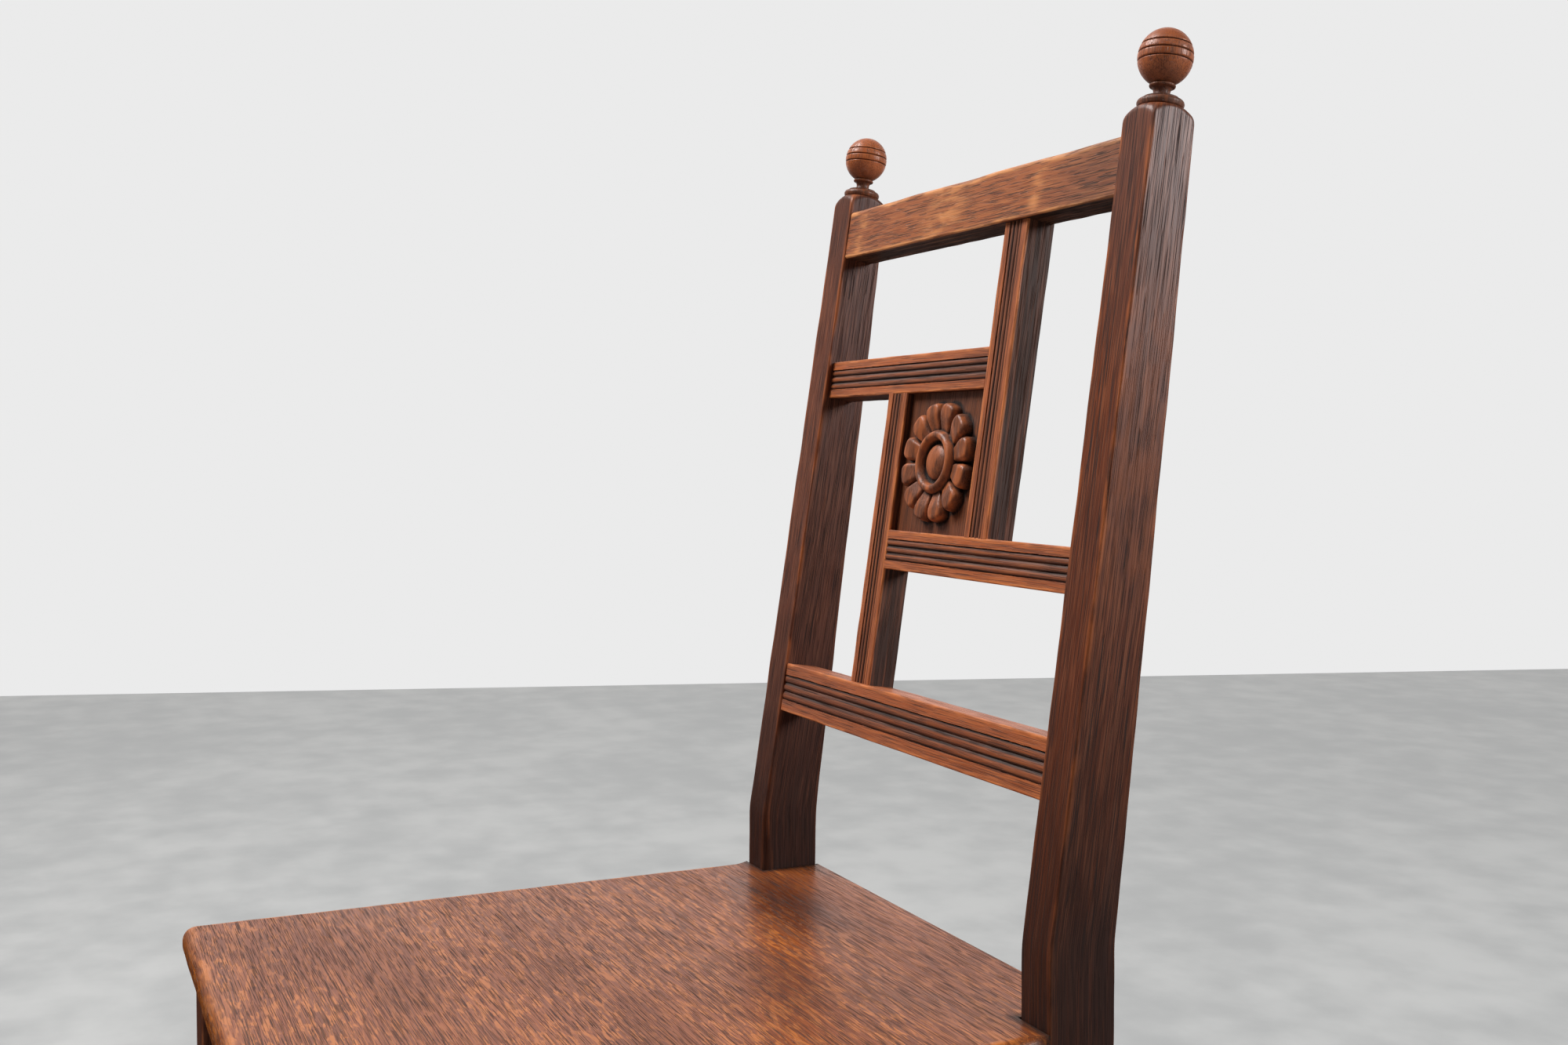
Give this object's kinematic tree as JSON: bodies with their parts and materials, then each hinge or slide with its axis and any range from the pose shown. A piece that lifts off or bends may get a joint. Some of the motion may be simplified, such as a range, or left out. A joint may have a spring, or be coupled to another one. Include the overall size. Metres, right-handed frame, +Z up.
{
  "type": "side chair",
  "caption": "Oak side chair with a raked open back of reeded rails and muntins round a carved rosette panel, ball finials, a board seat and turned front legs.",
  "frame": {"origin": "on the floor, under the middle of the chair's outline", "axes": "+X to the right seen from the front, +Y to the back, +Z up"},
  "size_m": [0.4332, 0.5323, 1.0216],
  "materials": {
    "oak_posts": "dark stained oak, waxed, satin",
    "oak_top_rail": "quarter-sawn stained oak with ray fleck, satin",
    "oak_reeded": "stained oak, orange-brown worn edges, satin",
    "oak_carved": "carved stained oak, dark in the hollows, satin",
    "oak_finials": "turned stained oak, satin",
    "oak_seat": "red-brown stained oak, waxed and worn at the edges, satin",
    "oak_legs": "turned stained oak, satin",
    "oak_underframe": "stained oak, satin",
    "oak_blocks": "bare softwood-pale oak, unfinished",
    "screw_steel": "dull steel"
  },
  "bodies": {
    "root": {"back_post_left": "oak_posts", "back_post_right": "oak_posts", "top_rail": "oak_top_rail", "bottom_reeded_rail": "oak_reeded", "upper_reeded_rail": "oak_reeded", "lower_reeded_rail": "oak_reeded", "upper_muntin": "oak_reeded", "lower_muntin": "oak_reeded", "rosette_panel": "oak_carved", "finial_left": "oak_finials", "finial_right": "oak_finials", "seat_board": "oak_seat", "front_leg_left": "oak_legs", "front_leg_right": "oak_legs", "front_seat_rail": "oak_underframe", "back_seat_rail": "oak_underframe", "side_seat_rail_left": "oak_underframe", "side_seat_rail_right": "oak_underframe", "side_stretcher_left": "oak_underframe", "side_stretcher_right": "oak_underframe", "cross_stretcher": "oak_underframe", "back_stretcher": "oak_underframe", "corner_block_front_left": "oak_blocks", "corner_block_front_right": "oak_blocks", "corner_block_back_left": "oak_blocks", "corner_block_back_right": "oak_blocks", "seat_screws": "screw_steel"}
  },
  "joints": []
}
